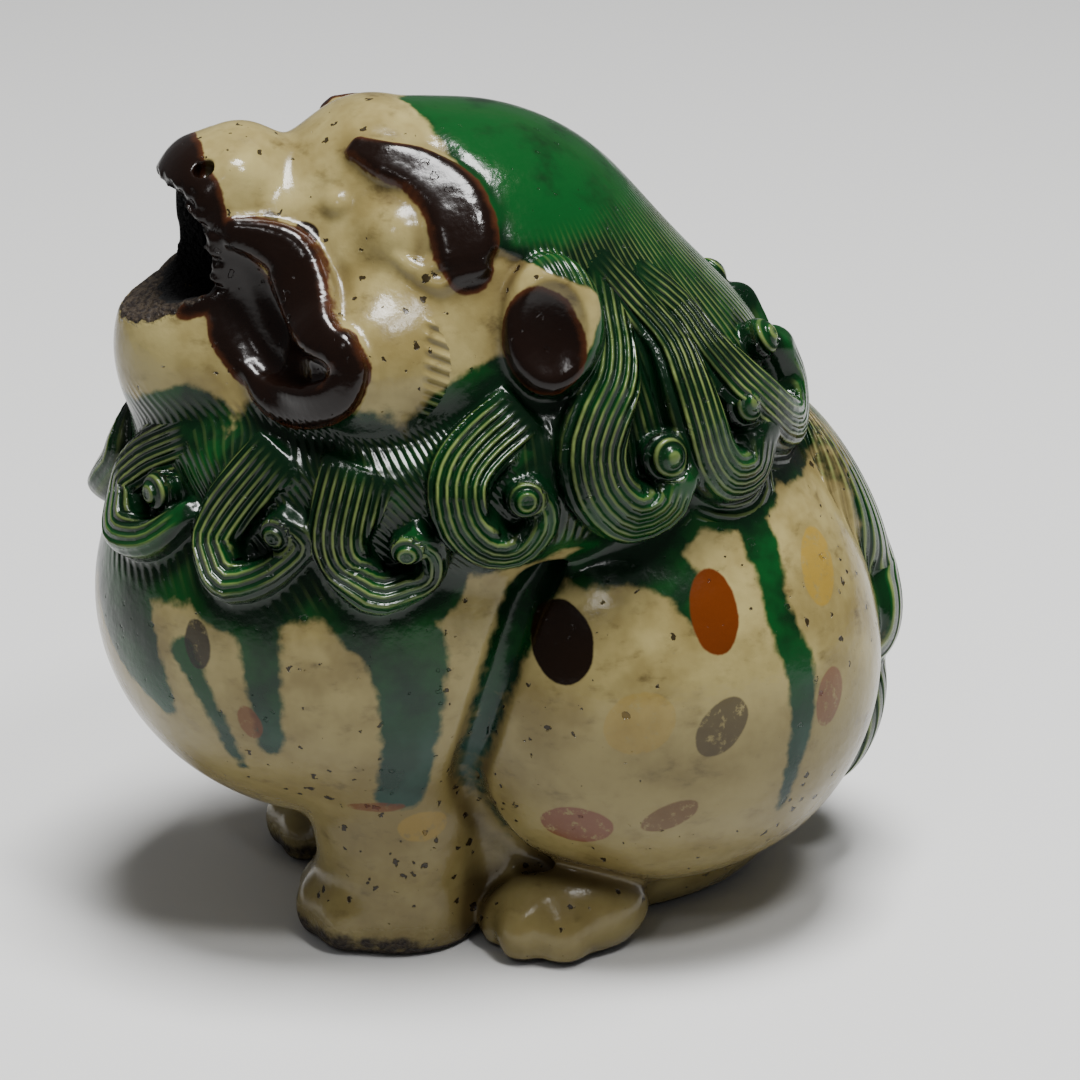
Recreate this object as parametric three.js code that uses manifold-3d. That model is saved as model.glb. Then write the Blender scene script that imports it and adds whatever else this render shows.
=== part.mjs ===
// A hollow glazed guardian lion, crouching with its head thrown up and its mouth open.
// Frame: millimetres, +Z up, the lion faces -Y and its left side is +X. Z = 0 is the ground.
import * as THREE from 'three';
import { mergeVertices } from 'three/addons/utils/BufferGeometryUtils.js';
import Module from 'manifold-3d';

const wasm = await Module();
wasm.setup();

// ---- driving dimensions ----
const WALL = 4;            // thickness of the pressed clay wall
const GAP = 0.34;          // joint line between two luted pieces
const NECK_HEIGHT = 48;    // where the head shell stands on the trunk
const SKIN = 2.4;          // how far the hair stands off the skull
const ROPE = 2.3;          // radius of the strand that curls round at the end of a lock
const ROUND = 14;          // segments round a large form
const FINE_ROUND = 8;      // segments round a small one
const SMALL = 8;           // a form is small below this radius

// ---- main forms: a centre, three radii, and a turn about X in degrees ----
const CHEST = { at: [0, -16, 33], radii: [23.5, 26.4, 25] };
const RUMP = { at: [0, 8.5, 30], radii: [25, 28, 29] };
const SEAT = { at: [0, 4, 8], radii: [20, 26, 14] };
const SKULL = { at: [0, -6, 60], radii: [20, 22, 21] };
const NAPE = { at: [0, 4, 51], radii: [20.5, 22, 16] };
const NECK = { at: [0, -13, 52], radii: [19, 20, 15] };
const MANE = { at: [0, -5, 46], radii: [27, 31, 24] };
const FOOT_HOLE = { at: [0, 4, 0], radii: [11, 15, 30] };

// ---- the mouth: a tube from the throat out to the lips ----
const THROAT = [0, -8, 56];
const MUZZLE_ROOT = [0, -15, 67];
const MUZZLE_TIP = [0, -27, 72];
const LIP_FRONT = -32.5;
const BORE = { at: [0, -32, 71], radii: [7, 22, 5.2], turn: 26 };

// ---- colours and finish of the glazes ----
const CREAM = { color: 0xd9cf9a, roughness: 0.28, metalness: 0 };
const GREEN = { color: 0x0f5a2b, roughness: 0.14, metalness: 0 };
const BROWN = { color: 0x24100a, roughness: 0.12, metalness: 0 };

// ---- the locks of the mane, from the nape round to the throat ----
// curl: centre of the spiral end; root: where the combed hair starts; size: outer radius of the curl
const LOCKS = [
  { curl: [9.5, 25.6, 56], root: [11, 18, 66], size: 5.8 },
  { curl: [19, 18.2, 51.5], root: [18, 8, 66], size: 6.2 },
  { curl: [25, 8, 49.5], root: [21.5, 3, 64], size: 6.8 },
  { curl: [26.2, -6.3, 48.6], root: [22.5, -4, 59], size: 6.8 },
  { curl: [23.8, -17.2, 44.8], root: [20.5, -16.5, 55], size: 6.4 },
  { curl: [17.2, -28.2, 45], root: [15, -26.5, 54], size: 6.2 },
  { curl: [6.4, -35.8, 45], root: [5.6, -33.6, 54], size: 6.0 },
];

const vector = (point) => new THREE.Vector3(...point);
const mirrored = (point) => [-point[0], point[1], point[2]];

// A closed three.js geometry as a solid, with its faces pointing out.
function solid(geometry, matrix = new THREE.Matrix4()) {
  const bare = geometry.clone().applyMatrix4(matrix);
  bare.deleteAttribute('normal');
  bare.deleteAttribute('uv');
  const merged = mergeVertices(bare, 1e-4);
  const places = merged.attributes.position.array;
  const corners = merged.index.array;
  const triangles = [];
  let volume = 0;
  for (let i = 0; i < corners.length; i += 3) {
    const [a, b, c] = [corners[i], corners[i + 1], corners[i + 2]];
    if (a === b || b === c || c === a) continue;
    triangles.push(a, b, c);
    const [p, q, r] = [a, b, c].map((k) => new THREE.Vector3().fromArray(places, 3 * k));
    volume += p.dot(q.cross(r));
  }
  if (volume < 0) triangles.reverse();
  const mesh = new wasm.Mesh({
    numProp: 3, vertProperties: Float32Array.from(places), triVerts: Uint32Array.from(triangles),
  });
  return new wasm.Manifold(mesh);
}

function join(solids) {
  return solids.reduce((sum, next) => sum.add(next));
}

// An ellipsoid, made larger all round by grow.
function ball({ at, radii, turn = 0 }, grow = 0) {
  const segments = Math.max(...radii) > SMALL ? ROUND : FINE_ROUND;
  const geometry = new THREE.SphereGeometry(1, segments, Math.round(segments * 0.6));
  geometry.rotateX(Math.PI / 2);
  const turned = new THREE.Quaternion().setFromAxisAngle(new THREE.Vector3(1, 0, 0), -turn * Math.PI / 180);
  const scale = vector(radii).addScalar(grow);
  return solid(geometry, new THREE.Matrix4().compose(vector(at), turned, scale));
}

// An ellipsoid lying on a surface: its thin axis is along out, its long axis along up.
function pad(at, out, up, [wide, long, deep], grow = 0) {
  const zAxis = vector(out).normalize();
  const xAxis = vector(up).cross(zAxis).normalize();
  const yAxis = zAxis.clone().cross(xAxis);
  const geometry = new THREE.SphereGeometry(1, FINE_ROUND, 5);
  geometry.rotateX(Math.PI / 2);
  const matrix = new THREE.Matrix4().makeBasis(xAxis, yAxis, zAxis).setPosition(vector(at));
  matrix.scale(new THREE.Vector3(wide + grow, long + grow, deep + grow));
  return solid(geometry, matrix);
}

// A limb with round ends: radius first at one end and last at the other.
function limb(from, to, first, last, grow = 0) {
  const axis = vector(to).sub(vector(from));
  const length = axis.length();
  const outline = [];
  const steps = 3;
  for (let i = 0; i <= steps; i += 1) {
    const angle = -Math.PI / 2 + (i / steps) * (Math.PI / 2);
    outline.push(new THREE.Vector2((first + grow) * Math.cos(angle), (first + grow) * Math.sin(angle)));
  }
  for (let i = 0; i <= steps; i += 1) {
    const angle = (i / steps) * (Math.PI / 2);
    const radius = last + grow;
    outline.push(new THREE.Vector2(radius * Math.cos(angle), length + radius * Math.sin(angle)));
  }
  outline[0].x = 0;
  outline[outline.length - 1].x = 0;
  const geometry = new THREE.LatheGeometry(outline, FINE_ROUND);
  const turned = new THREE.Quaternion().setFromUnitVectors(new THREE.Vector3(0, 1, 0), axis.normalize());
  return solid(geometry, new THREE.Matrix4().compose(vector(from), turned, new THREE.Vector3(1, 1, 1)));
}

// A round rope of clay along a smooth curve, with a round end.
function rope(points, radius, grow = 0) {
  const section = new THREE.Shape();
  section.absarc(0, 0, radius + grow, 0, 2 * Math.PI);
  const curve = new THREE.CatmullRomCurve3(points);
  const geometry = new THREE.ExtrudeGeometry(section, {
    extrudePath: curve, steps: Math.round(points.length * 1.2), curveSegments: 3, bevelEnabled: false,
  });
  const tip = points[points.length - 1].toArray();
  return solid(geometry).add(ball({ at: tip, radii: [radius, radius, radius] }, grow + 0.25));
}

// A round disc facing out, deep to each side of its centre.
function disc(at, out, radius, deep) {
  const geometry = new THREE.CylinderGeometry(radius, radius, 2 * deep, FINE_ROUND);
  const turned = new THREE.Quaternion().setFromUnitVectors(new THREE.Vector3(0, 1, 0), out);
  return solid(geometry, new THREE.Matrix4().compose(vector(at), turned, new THREE.Vector3(1, 1, 1)));
}

// A block between two heights, wide enough for the whole figure.
function slab(low, high) {
  const geometry = new THREE.BoxGeometry(200, 200, high - low);
  geometry.translate(0, 0, (low + high) / 2);
  return solid(geometry);
}

// A block from low to high along each axis.
function block(low, high) {
  const geometry = new THREE.BoxGeometry(high[0] - low[0], high[1] - low[1], high[2] - low[2]);
  geometry.translate((low[0] + high[0]) / 2, (low[1] + high[1]) / 2, (low[2] + high[2]) / 2);
  return solid(geometry);
}

// ---- the trunk and the head, which everything else is luted to ----
const trunkForms = (grow) => join([CHEST, RUMP, SEAT].map((form) => ball(form, grow)));
const headForms = (grow) => join([SKULL, NAPE, NECK].map((form) => ball(form, grow)));
const muzzleForm = (grow) => limb(MUZZLE_ROOT, MUZZLE_TIP, 11, 8.6, grow);
const mouthBore = () => ball(BORE).add(limb(THROAT, [0, -20, 64], 6, 5.5));

const trunkOuter = (grow) => trunkForms(grow).intersect(slab(-1, NECK_HEIGHT + grow));
const headOuter = (grow) => headForms(grow).add(muzzleForm(grow)).intersect(slab(NECK_HEIGHT + GAP - grow, 120));

function bodyShell(grow) {
  if (grow > 0) return trunkOuter(grow);
  const shell = trunkOuter(0).subtract(trunkForms(-WALL)).subtract(ball(FOOT_HOLE));
  return shell.intersect(slab(0, NECK_HEIGHT));
}

function headShell(grow) {
  const front = block([-60, LIP_FRONT - grow, 0], [60, 100, 120]);
  if (grow > 0) return headOuter(grow).intersect(front).subtract(mouthBore());
  return headOuter(0).subtract(headForms(-WALL)).subtract(mouthBore()).intersect(front);
}

// ---- the face ----
function lowerJaw(grow) {
  const chin = limb([0, -22, 48], [0, -27.5, 58.5], 14, 10.5, grow);
  const rim = limb([0, -22, 60], [0, -31, 61], 10, 7.2, grow);
  const above = block([-40, -80, 62.6 + grow], [40, 20, 120]);
  return chin.add(rim).subtract(above).subtract(mouthBore());
}

function nose(grow) {
  const bulb = ball({ at: [0, -25.5, 77.5], radii: [7, 5.5, 4.6] }, grow);
  const lip = ball({ at: [0, -29.6, 75.6], radii: [8, 3.6, 4.4] }, grow);
  return bulb.add(lip).subtract(mouthBore());
}

function lip(side) {
  const at = (x, y, z) => new THREE.Vector3(side * x, y, z);
  return (grow) => {
    const outer = [at(9, -29.5, 76), at(12, -24.5, 75), at(15, -20.5, 71.5), at(16.3, -19, 66), at(17, -18.2, 61.5),
      at(15.5, -21.5, 57.6), at(13, -25.5, 58.6), at(10.5, -29.2, 62.5)];
    const lobe = [side * 12.2, -24.6, 66.5];
    return rope(outer, 2.6, grow).add(pad(lobe, [side, -0.9, 0], [0, 0, 1], [5, 8, 3.2], grow));
  };
}

const cheek = (side) => (grow) =>
  pad([side * 17.4, -12.5, 62], [side, -0.5, 0], [0, 0.3, 1], [7, 8.6, 3.4], grow);
const eye = (side) => (grow) =>
  pad([side * 13.6, -13.4, 72.6], [side, -0.8, 0.5], [0, 0.4, 1], [5.4, 3.8, 3.4], grow);
const brow = (side) => (grow) =>
  rope([
    new THREE.Vector3(side * 7.6, -16.2, 80.4), new THREE.Vector3(side * 11.6, -12.6, 79.6),
    new THREE.Vector3(side * 15.6, -8.8, 77.2), new THREE.Vector3(side * 18.6, -6.4, 71.8),
  ], 2.4, grow);

function ear(side) {
  return (grow) => {
    const cup = pad([side * 22.2, 0, 65.8], [side, -0.35, 0.1], [0, 0.25, 1], [5, 7.4, 2.8], grow);
    if (grow > 0) return cup;
    return cup.subtract(pad([side * 25.6, -0.6, 65.4], [side, -0.35, 0.1], [0, 0.25, 1], [3.6, 5.6, 2.2]));
  };
}

// ---- the mane ----
function maneCap(grow) {
  const hair = headForms(SKIN + grow);
  const behindBrow = block([-60, -7.5 - grow, 61 - grow], [60, 60, 120]);
  const nape = block([-60, -3 - grow, 51 - grow], [60, 60, 120]);
  return hair.intersect(behindBrow.add(nape));
}

// A combed lock: a thick tress from its root, then a rope that curls round under its own end.
function lock({ curl, root, size }, side) {
  const place = side > 0 ? curl : mirrored(curl);
  const start = side > 0 ? root : mirrored(root);
  const out = vector(place).sub(vector(MANE.at)).divide(vector(MANE.radii)).divide(vector(MANE.radii)).normalize();
  const up = vector(start).sub(vector(place));
  up.addScaledVector(out, -up.dot(out)).normalize();
  const across = up.clone().cross(out).multiplyScalar(side);
  const spiral = [];
  const turns = 7;
  for (let i = 0; i <= turns; i += 1) {
    const angle = (i / turns) * 1.45 * Math.PI;
    const radius = (size - ROPE) * (1 - 0.45 * (i / turns));
    const point = vector(place).addScaledVector(across, -radius * Math.cos(angle));
    point.addScaledVector(up, -radius * Math.sin(angle));
    spiral.push(point);
  }
  const middle = vector(place).lerp(vector(start), 0.5).addScaledVector(out, -1.6);
  const reach = vector(place).distanceTo(vector(start)) / 2 + 2;
  middle.addScaledVector(across, -1.5);
  return (grow) => {
    const tress = pad(middle.toArray(), out.toArray(), up.toArray(), [size * 0.9, reach, 3.4], grow);
    if (grow > 0) return tress.add(disc(place, out, size + 0.4 + grow, ROPE + 0.3 + grow));
    const back = pad(place, out.toArray(), up.toArray(), [size, size, ROPE], grow);
    return tress.add(back).add(rope(spiral, ROPE, grow));
  };
}

// ---- legs and tail ----
const haunch = (side) => (grow) =>
  ball({ at: [side * 14, 10, 24.5], radii: [15.2, 18.5, 20.5], turn: -12 }, grow);
const shoulder = (side) => (grow) =>
  limb([side * 13.5, -17, 33], [side * 11.5, -16, 12], 12.2, 8, grow);
const forepaw = (side) => (grow) =>
  ball({ at: [side * 10.5, -17.5, 4.6], radii: [7.2, 9.4, 6] }, grow);
const hindPaw = (side) => (grow) =>
  ball({ at: [side * 18, 1.5, 4.4], radii: [6.8, 7.4, 5.6] }, grow);

const tailPlume = (grow) => pad([0, 33.6, 40], [0, 1, 0.55], [0, -0.4, 1], [9.5, 12, 3.4], grow);
const tailCurl = (grow) => pad([0, 37.6, 27.5], [0, 1, 0], [0, 0, 1], [10, 7.4, 3.6], grow);
const tailKnob = (grow) => ball({ at: [0, 39.6, 26.5], radii: [2.6, 2.3, 2.6] }, grow);
const tailTuft = (grow) => pad([0, 35.6, 15.6], [0, 1, -0.35], [0, 0.3, 1], [8.5, 8.6, 3.6], grow);

// ---- every piece, in the order it is laid on: a later piece gives way to the earlier ones ----
const pieces = [
  ['body_shell', CREAM, bodyShell],
  ['head_shell', CREAM, headShell],
  ['nose', CREAM, nose],
  ['lower_jaw', CREAM, lowerJaw],
  ['tail_knob', BROWN, tailKnob],
  ['tail_curl', GREEN, tailCurl],
  ['tail_plume', GREEN, tailPlume],
  ['tail_tuft', GREEN, tailTuft],
];
for (const [name, side] of [['left', 1], ['right', -1]]) {
  pieces.push(
    [`${name}_ear`, BROWN, ear(side)],
    [`${name}_brow`, BROWN, brow(side)],
    [`${name}_lip`, BROWN, lip(side)],
    [`${name}_eye`, CREAM, eye(side)],
    [`${name}_cheek`, CREAM, cheek(side)],
    [`${name}_forepaw`, CREAM, forepaw(side)],
    [`${name}_hind_paw`, CREAM, hindPaw(side)],
  );
}
LOCKS.forEach((shape, index) => {
  pieces.push([`left_lock_${index + 1}`, GREEN, lock(shape, 1)]);
  pieces.push([`right_lock_${index + 1}`, GREEN, lock(shape, -1)]);
});
pieces.push(
  ['mane_cap', GREEN, maneCap],
  ['left_haunch', CREAM, haunch(1)],
  ['right_haunch', CREAM, haunch(-1)],
  ['left_shoulder', CREAM, shoulder(1)],
  ['right_shoulder', CREAM, shoulder(-1)],
);

function largest(whole) {
  const parts = whole.decompose();
  return parts.reduce((best, next) => (next.volume() > best.volume() ? next : best));
}

const lion = new THREE.Group();
const laid = [];
for (const [name, glaze, form] of pieces) {
  let body = form(0);
  for (const earlier of laid) body = body.subtract(earlier);
  body = largest(body.intersect(slab(0, 120)));
  laid.push(form(GAP));
  const { numProp, vertProperties, triVerts } = body.getMesh();
  const geometry = new THREE.BufferGeometry();
  const places = new Float32Array((vertProperties.length / numProp) * 3);
  for (let i = 0; i < places.length; i += 1) {
    places[i] = vertProperties[Math.floor(i / 3) * numProp + (i % 3)];
  }
  geometry.setAttribute('position', new THREE.BufferAttribute(places, 3));
  geometry.setIndex(Array.from(triVerts));
  geometry.computeVertexNormals();
  const mesh = new THREE.Mesh(geometry, new THREE.MeshStandardMaterial(glaze));
  mesh.name = name;
  lion.add(mesh);
}

export default lion;
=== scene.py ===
"""A glazed guardian lion, sculpted as one field of distances and cut into the frame's own pieces."""

import math
from concurrent.futures import ThreadPoolExecutor

import bpy
import numpy as np
from mathutils import Matrix, Vector


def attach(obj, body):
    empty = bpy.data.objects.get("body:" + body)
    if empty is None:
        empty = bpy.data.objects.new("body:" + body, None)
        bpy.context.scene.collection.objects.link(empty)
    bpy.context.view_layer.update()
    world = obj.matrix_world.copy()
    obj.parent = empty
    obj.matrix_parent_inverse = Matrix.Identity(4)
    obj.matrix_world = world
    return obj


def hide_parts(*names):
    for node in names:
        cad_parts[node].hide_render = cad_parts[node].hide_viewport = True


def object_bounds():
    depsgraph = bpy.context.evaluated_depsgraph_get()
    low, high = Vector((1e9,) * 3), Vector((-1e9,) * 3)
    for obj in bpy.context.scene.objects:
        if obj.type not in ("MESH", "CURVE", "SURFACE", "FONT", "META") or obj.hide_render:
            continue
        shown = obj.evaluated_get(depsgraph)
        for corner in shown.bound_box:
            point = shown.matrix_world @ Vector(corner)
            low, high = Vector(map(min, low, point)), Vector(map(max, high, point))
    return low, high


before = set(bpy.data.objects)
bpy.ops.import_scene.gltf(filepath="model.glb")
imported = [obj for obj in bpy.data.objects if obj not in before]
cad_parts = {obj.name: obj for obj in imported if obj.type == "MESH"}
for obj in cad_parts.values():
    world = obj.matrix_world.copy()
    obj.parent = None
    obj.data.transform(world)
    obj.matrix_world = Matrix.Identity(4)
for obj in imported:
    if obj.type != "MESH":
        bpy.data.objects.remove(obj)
CAD_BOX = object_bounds()

# ---- the figure's own unit: one millimetre on a figure of this length, width and height ----
LOW = np.array(CAD_BOX[0], float)
HIGH = np.array(CAD_BOX[1], float)
UNIT = np.array([58.4, 83.5, 83.4])
METRES = (HIGH - LOW) / UNIT
FINE = 1.0

# ---- mesh cells, and how the pieces meet, in that unit ----
HEAD_CELL = 0.32 * FINE
HAIR_CELL = 0.36 * FINE
BODY_CELL = 0.55 * FINE
FAR = 50.0  # a distance that stands for out of reach
NECK = 48.0  # the height at which the head's shell meets the body's
WALL = 4.0  # thickness of the clay
SINK = 0.25  # how steeply a piece dips under its neighbour beyond the seam
LAP = 0.9  # how far it goes on beneath
MARGIN = 1.5  # room left round a piece's box
HALF_GAP = 0.05  # a left piece stops this far from the middle plane
NEAR_SKIN = 0.45  # points this close to the figure's skin take its slope
PROBE = 0.12  # distance at which a slope is measured


def vec(*numbers):
    return np.array(numbers, np.float32)


def unit(vector):
    return vector / np.linalg.norm(vector)


def length(rows):
    return np.sqrt(np.einsum("ij,ij->i", rows, rows))


# ---- forms: each gives a distance for an array of points, and the box that it fills ----
class Form:
    def __init__(self, field, low, high, comb=None):
        self.field = field
        self.low = np.asarray(low, np.float32)
        self.high = np.asarray(high, np.float32)
        self.comb = comb

    def grown(self, by):
        return Form(lambda p: self.field(p) - by, self.low - by, self.high + by)


def smooth_min(a, b, k):
    blend = np.maximum(k - np.abs(a - b), 0) / k
    return np.minimum(a, b) - blend * blend * k * 0.25


def smooth_max(a, b, k):
    return -smooth_min(-a, -b, k)


def ramp(x, start, end):
    t = np.clip((x - start) / (end - start), 0, 1)
    return t * t * (3 - 2 * t)


def tilt(axis, degrees):
    return np.array(Matrix.Rotation(math.radians(degrees), 3, axis), np.float32)


def facing(out):
    """Axes for a form laid on a slope: across it, up it, and out of it."""
    out = unit(vec(*out))
    across = unit(np.cross(vec(0, 0, 1), out))
    return np.stack([across, np.cross(out, across), out], 1)


def ball(centre, radii, turn=None):
    """An egg shape, with its axes turned."""
    centre, radii = vec(*centre), vec(*radii)
    axes = np.eye(3, dtype=np.float32) if turn is None else turn
    reach = np.sqrt((axes ** 2) @ radii ** 2)

    def field(p):
        q = (p - centre) @ axes
        near = length(q / radii)
        slope = length(q / radii ** 2)
        return near * (near - 1) / np.maximum(slope, 1e-6)

    return Form(field, centre - reach, centre + reach)


def limb(start, end, first, last):
    """A round bar that tapers from one radius to another."""
    start, end = vec(*start), vec(*end)
    axis = end - start
    square = float(axis @ axis)

    def field(p):
        along = np.clip(((p - start) @ axis) / square, 0, 1)
        return length(p - start - along[:, None] * axis) - (first + (last - first) * along)

    low = np.minimum(start - first, end - last)
    high = np.maximum(start + first, end + last)
    return Form(field, low, high)


def joined(forms, k):
    def field(p):
        total = forms[0].field(p)
        for form in forms[1:]:
            total = smooth_min(total, form.field(p), k)
        return total

    low = np.min([form.low for form in forms], 0)
    high = np.max([form.high for form in forms], 0)
    return Form(field, low, high, forms[0].comb)


def cut(form, away, k):
    return Form(lambda p: smooth_max(form.field(p), -away.field(p), k), form.low, form.high)


def curve(points, count):
    """Points, evenly numbered, on a smooth curve through the given ones."""
    points = np.asarray(points, float)
    padded = np.vstack([2 * points[0] - points[1], points, 2 * points[-1] - points[-2]])
    result = []
    for place in np.linspace(0, len(points) - 1, count):
        i = min(int(place), len(points) - 2)
        t = place - i
        a, b, c, d = padded[i:i + 4]
        result.append(0.5 * (2 * b + (c - a) * t + (2 * a - 5 * b + 4 * c - d) * t ** 2
                             + (3 * b - a - 3 * c + d) * t ** 3))
    return np.array(result, np.float32)


def nearest(route, p):
    """For each point, the nearest stretch of the route and how far along that stretch it is."""
    steps = route[1:] - route[:-1]
    squares = (steps ** 2).sum(1)
    along = p @ steps.T - (route[:-1] * steps).sum(1)
    t = np.clip(along / squares, 0, 1)
    apart = (route[:-1] ** 2).sum(1) - 2 * p @ route[:-1].T + t * (t * squares - 2 * along)
    i = apart.argmin(1)
    return i, t[np.arange(len(p)), i][:, None]


def trail(points, radii, count=20):
    """A round-sectioned line through points, as thick as the radii given."""
    route = curve(points, count)
    thick = curve([[r] for r in radii], count)

    def field(p):
        i, t = nearest(route, p)
        middle = route[i] * (1 - t) + route[i + 1] * t
        return length(p - middle) - (thick[i] * (1 - t) + thick[i + 1] * t)[:, 0]

    reach = float(thick.max())
    return Form(field, route.min(0) - reach, route.max(0) + reach)


def ribbon(points, outs, wides, deeps, pitch=0.0, outer=1.0, count=24):
    """A strap of clay along a curve, flat-topped in section. Its comb numbers the strands across it."""
    route = curve(points, count)
    outs = curve(outs, count)
    wides = curve([[w] for w in wides], count)
    deeps = curve([[d] for d in deeps], count)
    along = np.gradient(route, axis=0)
    along /= length(along)[:, None]
    outs -= (outs * along).sum(1)[:, None] * along
    outs /= length(outs)[:, None]
    sides = np.cross(along, outs)
    reach = float(max(wides.max(), deeps.max()))

    def placed_at(p):
        i, t = nearest(route, p)

        def at(values):
            return values[i] * (1 - t) + values[i + 1] * t

        off = p - at(route)
        across = np.einsum("ij,ij->i", off, at(sides))
        up = np.einsum("ij,ij->i", off, at(outs))
        past = np.einsum("ij,ij->i", off, at(along))
        return across, up, past, at(wides)[:, 0], at(deeps)[:, 0], (i + t[:, 0]) / (count - 1)

    def field(p):
        across, up, past, wide, deep, _ = placed_at(p)
        a, u, e = across / wide, up / deep, past / deep
        value = a ** 4 + u * u + e * e - 1
        slope = 2 * np.sqrt((2 * a ** 3 / wide) ** 2 + (u / deep) ** 2 + (e / deep) ** 2)
        outside = np.sqrt(across ** 2 + up ** 2 + past ** 2) - 1.15 * np.maximum(wide, deep)
        return np.maximum(value / np.maximum(slope, 1 / deep), outside)

    def comb(p):
        across, up, _, wide, deep, place = placed_at(p)
        strand = (wide - outer * across) / pitch
        strength = ramp(up / deep, 0.0, 0.5) * (1 - 0.5 * ramp(place, 0.45, 0.7)) * (1 - ramp(place, 0.93, 1))
        strength = strength * ramp(place, 0.0, 0.10)
        return strand, strength

    return Form(field, route.min(0) - reach, route.max(0) + reach, comb if pitch else None)


TETRAHEDRON = vec(1, -1, -1, -1, -1, 1, -1, 1, -1, 1, 1, 1).reshape(4, 3)


def slopes(field, p, step):
    """The field's gradient, from four points round each one."""
    total = np.zeros_like(p)
    for corner in TETRAHEDRON:
        total += corner * field(p + corner * step)[:, None]
    return total / (4 * step)


def laid(points, form, lift=0.0):
    """Points moved to lie on a form, or above it by a lift, and the way out of it at each."""
    p = np.array(points, np.float32)
    for _ in range(8):
        slope = slopes(form.field, p, 0.1)
        p = p - ((form.field(p) - lift) / (length(slope) ** 2 + 1e-6))[:, None] * slope
    slope = slopes(form.field, p, 0.1)
    return p, slope / length(slope)[:, None]


# ---- the trunk and the head that everything else is laid on ----
CHEST = ball((0, -16, 33.5), (23.5, 25.9, 23.5))
RUMP = ball((0, 8.5, 30), (20.5, 27.5, 28))
SEAT = ball((0, 5, 8), (17, 25, 13))
SKULL = ball((0, -6, 59.6), (20.3, 22.3, 22.2))
NAPE = ball((0, 4, 52), (21, 22, 17))
THROAT = ball((0, -13, 52), (19.5, 21, 15))
MUZZLE = limb((0, -15, 67), (0, -27, 71.4), 11.5, 9.3)
FOREHEAD = ball((0, -13.5, 76.5), (10, 7, 7))

trunk = joined([CHEST, RUMP, SEAT], 6)
skull = joined([SKULL, NAPE, THROAT], 6)
head = joined([skull, MUZZLE, FOREHEAD], 4)
core = joined([trunk, head], 6)

# ---- hollows ----
inside_trunk = joined([CHEST.grown(-WALL), RUMP.grown(-WALL), SEAT.grown(-WALL)], 6)
inside_head = skull.grown(-WALL)
hollow = joined([inside_trunk, inside_head], 4)
foot_hole = ball((0, 4, 0), (10, 14, 12))
gullet = limb((0, -24, 68), (0, -9, 57), 5.8, 6)
MOUTH_MIDDLE = 71.0
MOUTH_HALF = (7.7, 5.6)


def mouth(p):
    """The bore behind the lips: nearly square at the rim and round at the throat."""
    narrowing = 1 + 0.012 * (p[:, 1] + 34)
    x = p[:, 0] / (MOUTH_HALF[0] * np.clip(2 - narrowing, 0.7, 1.05))
    z = (p[:, 2] - MOUTH_MIDDLE + 0.12 * (p[:, 1] + 33)) / MOUTH_HALF[1]
    bore = ((np.abs(x) ** 3 + np.abs(z) ** 3) ** (1 / 3) - 1) * MOUTH_HALF[1]
    bore = np.maximum(bore, p[:, 1] + 22)
    return smooth_min(bore, gullet.field(p), 3)


def lip_line(p):
    """Below zero in front of the upper lip and above the lower one, along a broken edge."""
    chip = (0.30 * np.sin(2.1 * p[:, 2] + 0.8) + 0.22 * np.sin(4.3 * p[:, 2] + 1.7 * p[:, 0])
            + 0.16 * np.sin(3.7 * p[:, 1] + 2.3 * p[:, 0]))
    front = p[:, 1] + 33.6 - 0.031 * p[:, 0] ** 2 - 0.13 * p[:, 0] - 0.16 * (72 - p[:, 2]) + chip
    above = (63.5 - p[:, 2]) + 0.48 * (p[:, 1] + 38.4) + 0.03 * p[:, 0] + 0.6 * chip
    return smooth_max(front, above, 0.8)


# ---- the mane: its locks run over the head's skin, by directions from a point inside it ----
MANE_CENTRE = vec(0, -6, 54)
STRAND = 0.88
HAIR_RISE = 0.6
# a lock: (way round from the front, way up, half its width) from the root to the tip; then its knob
LOCKS = [
    [(139, 36, 1.9), (146, 25, 2.3), (145, 15, 2.7), (147, 7, 3.1), (151, 2, 3.2), (157, -3, 3.1), (164, -5, 2.7),
     (168, 0, 2.3), (167, 6, 2.0), (161, 10, 2.1)],
    [(127, 42, 1.7), (134, 29, 2.1), (136, 19, 2.4), (135, 10, 2.8), (135, 3, 3.1), (136, -4, 3.2), (140, -8, 3.0),
     (146, -8, 2.7), (149, -3, 2.2), (146, 3, 2.2)],
    [(126, 40, 1.5), (124, 29, 2.0), (122, 21, 2.5), (119, 14, 2.9), (114, 7, 3.2), (111, 0, 3.5), (112, -7, 3.4),
     (118, -12, 3.1), (125, -11, 2.6), (128, -7, 2.1), (126, -2, 2.3)],
    [(97, 12, 2.6), (89, 6, 3.0), (83, 0, 3.1), (81, -5, 3.0), (82, -11, 2.6), (87, -16, 2.2), (94, -17, 1.8),
     (99, -13, 1.5), (100, -9, 1.2), (98, -6, 1.1), (95, -7, 1.8)],
    [(60, -1, 3.8), (58, -7, 3.4), (56, -13, 3.0), (56, -18, 2.7), (58, -23, 2.5), (63, -27, 2.2), (70, -27, 1.8),
     (75, -22, 1.5), (76, -17, 1.2), (73, -14, 1.0), (70, -16, 1.7)],
    [(42, 1, 3.2), (38, -5, 3.0), (34, -10, 2.8), (32, -14, 2.6), (32, -18, 2.4), (36, -22, 2.1), (42, -22, 1.7),
     (47, -18, 1.4), (49, -14, 1.1), (46, -11, 0.9), (44, -13, 1.7)],
    [(20, 1, 2.2), (12, -5, 2.6), (8, -10, 2.8), (8, -14, 2.6), (12, -18, 2.3), (19, -18, 1.9), (24, -14, 1.4),
     (18, -10, 2.0)],
]

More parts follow.
